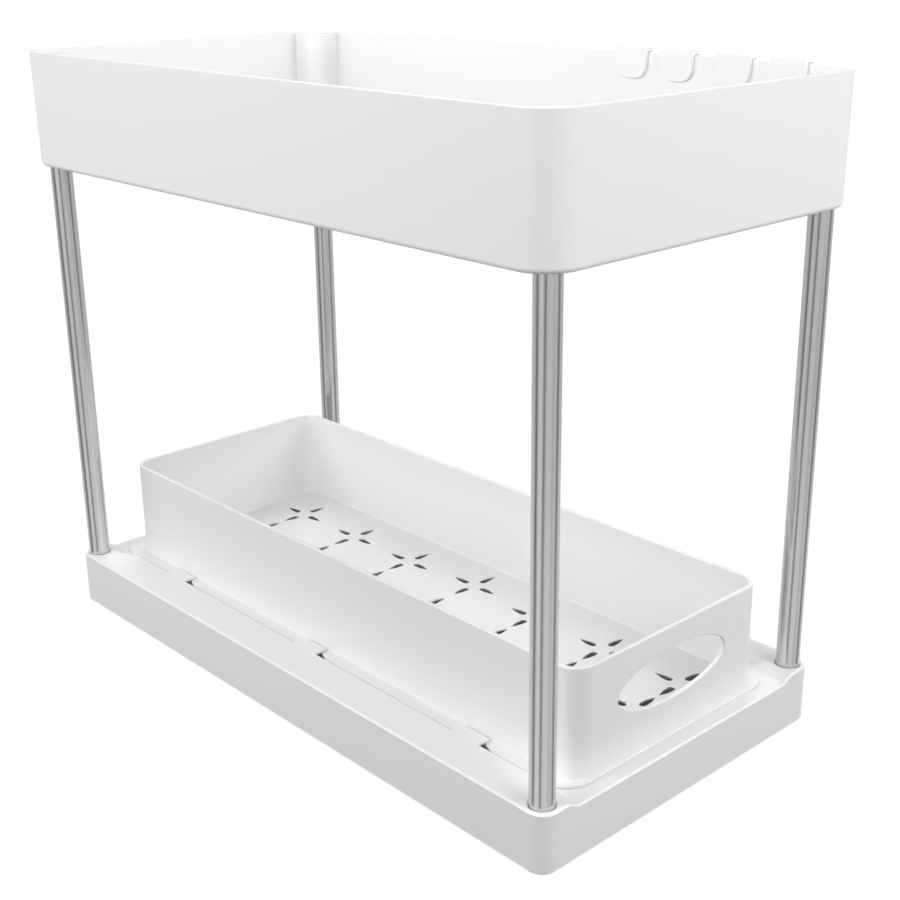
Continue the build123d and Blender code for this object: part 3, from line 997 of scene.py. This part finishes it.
def striped_glow(name, stops):
    """Grey glow in soft upright stripes, a little weaker higher up. The stripes go by azimuth."""
    material, tree = new_material(name)
    place = added(tree, "SeparateXYZ", {0: added(tree, "TexCoord").outputs["Object"]}).outputs
    azimuth = computed(tree, "ARCTAN2", place["X"], place["Y"])
    turn = computed(tree, "ADD", computed(tree, "MULTIPLY", azimuth, 0.5 / math.pi), 0.5)
    stripes = added(tree, "ValToRGB", {"Fac": turn})
    stripes.color_ramp.interpolation = "EASE"
    points = stripes.color_ramp.elements
    for index, (position, level) in enumerate(stops):
        point = points[index] if index < 2 else points.new(position)
        point.position = position
        point.color = (level, level, level, 1.0)
    streaks = added(tree, "TexNoise", {"Scale": 130.0, "Detail": 3.0}, noise_dimensions="1D")
    fed(tree, streaks, {"W": turn})
    shade = mapped(tree, streaks.outputs["Fac"], (0.3, 0.7), RING_STREAKS)
    level = computed(tree, "MULTIPLY", stripes.outputs["Color"], shade)
    height = mapped(tree, place["Z"], RING_FADE, (1.0, RING_UPPER_GLOW))
    surfaced(tree, added(tree, "Emission", {
        "Color": (1.0, 0.998, 0.99, 1.0), "Strength": computed(tree, "MULTIPLY", level, height),
    }))
    return material


def reflection_ring(name):
    """Wide round screen that only the steel and the gloss reflect, as the room does round a real tube."""
    clear_selection()
    bpy.ops.mesh.primitive_cylinder_add(
        vertices=RING_SIDES, radius=RING_RADIUS, depth=RING_DEPTH, end_fill_type="NOTHING"
    )
    ring = sized(name, (1.0, 1.0, 1.0))
    ring.data.materials.append(striped_glow(name, RING_STRIPES))
    ring.visible_camera = ring.visible_diffuse = ring.visible_shadow = ring.visible_transmission = False


class ORGANIZER_OT_stage(bpy.types.Operator):
    """Set up the floor, the soft studio lamps and the camera"""

    bl_idname = "organizer.stage"
    bl_label = "Stage"

    def execute(self, context):
        scene = context.scene
        stage = scene.organizer_stage
        scene.view_settings.view_transform = "Standard"
        scene.world = studio_air("Studio Air")
        bpy.ops.mesh.primitive_plane_add(size=FLOOR_SIZE)
        floor = context.active_object
        floor.name = "studio_floor"
        floor.data.materials.append(pale_floor("Studio Floor"))
        floor.visible_glossy = False

        for name, place, side, watts in SOFTBOXES:
            softbox(name, place, side, watts)
        reflection_ring("reflection_ring")

        lens = bpy.data.cameras.new("photo_camera")
        lens.lens = stage.focal_length
        lens.sensor_width = SENSOR_WIDTH
        lens.shift_x, lens.shift_y = stage.shift
        camera = bpy.data.objects.new("photo_camera", lens)
        scene.collection.objects.link(camera)
        pitch, azimuth, roll = stage.camera_pitch, stage.camera_azimuth, stage.camera_roll
        sight = Vector((
            math.sin(azimuth) * math.cos(pitch), math.cos(azimuth) * math.cos(pitch), math.sin(pitch)
        ))
        level = sight.cross(Vector((0, 0, 1))).normalized()
        upright = level.cross(sight)
        right = level * math.cos(roll) + upright * math.sin(roll)
        up = upright * math.cos(roll) - level * math.sin(roll)
        turn = Matrix((right, up, -sight)).transposed()
        camera.matrix_world = Matrix.Translation(stage.camera_place) @ turn.to_4x4()
        scene.camera = camera
        return {"FINISHED"}


class ORGANIZER_PT_panel(bpy.types.Panel):
    """Lists the organizer's settings and its operators"""

    bl_idname = "ORGANIZER_PT_panel"
    bl_label = "Two-Level Organizer"
    bl_space_type = "VIEW_3D"
    bl_region_type = "UI"
    bl_category = "Organizer"

    def draw(self, context):
        layout = self.layout
        for setting in SETTINGS:
            group = getattr(context.scene, setting)
            for name in group.bl_rna.properties.keys():
                if name not in {"rna_type", "name"}:
                    layout.prop(group, name)
        for operator in OPERATORS:
            layout.operator(operator.bl_idname)


SETTINGS = {
    "organizer_colours": OrganizerColours,
    "organizer_tube": OrganizerTube,
    "organizer_tray": OrganizerTray,
    "organizer_drain": OrganizerDrain,
    "organizer_tabs": OrganizerTabs,
    "organizer_drawer": OrganizerDrawer,
    "organizer_hook": OrganizerHook,
    "organizer_stage": OrganizerStage,
}
OPERATORS = (
    ORGANIZER_OT_finishes, ORGANIZER_OT_tubes, ORGANIZER_OT_tray, ORGANIZER_OT_drawer, ORGANIZER_OT_hooks,
    ORGANIZER_OT_stage,
)
CLASSES = (*SETTINGS.values(), *OPERATORS, ORGANIZER_PT_panel)


def register():
    """Register the add-on's classes and settings."""
    for item in CLASSES:
        bpy.utils.register_class(item)
    for setting, group in SETTINGS.items():
        setattr(bpy.types.Scene, setting, bpy.props.PointerProperty(type=group))


def unregister():
    """Take the add-on's settings and classes out again."""
    for setting in reversed(SETTINGS):
        delattr(bpy.types.Scene, setting)
    for item in reversed(CLASSES):
        bpy.utils.unregister_class(item)


def main():
    """Build the organizer and its stage."""
    register()
    bpy.ops.organizer.finishes()
    bpy.ops.organizer.tubes()
    bpy.ops.organizer.tray()
    bpy.ops.organizer.drawer()
    bpy.ops.organizer.hooks()
    bpy.ops.organizer.stage()


if __name__ == "__main__":
    main()
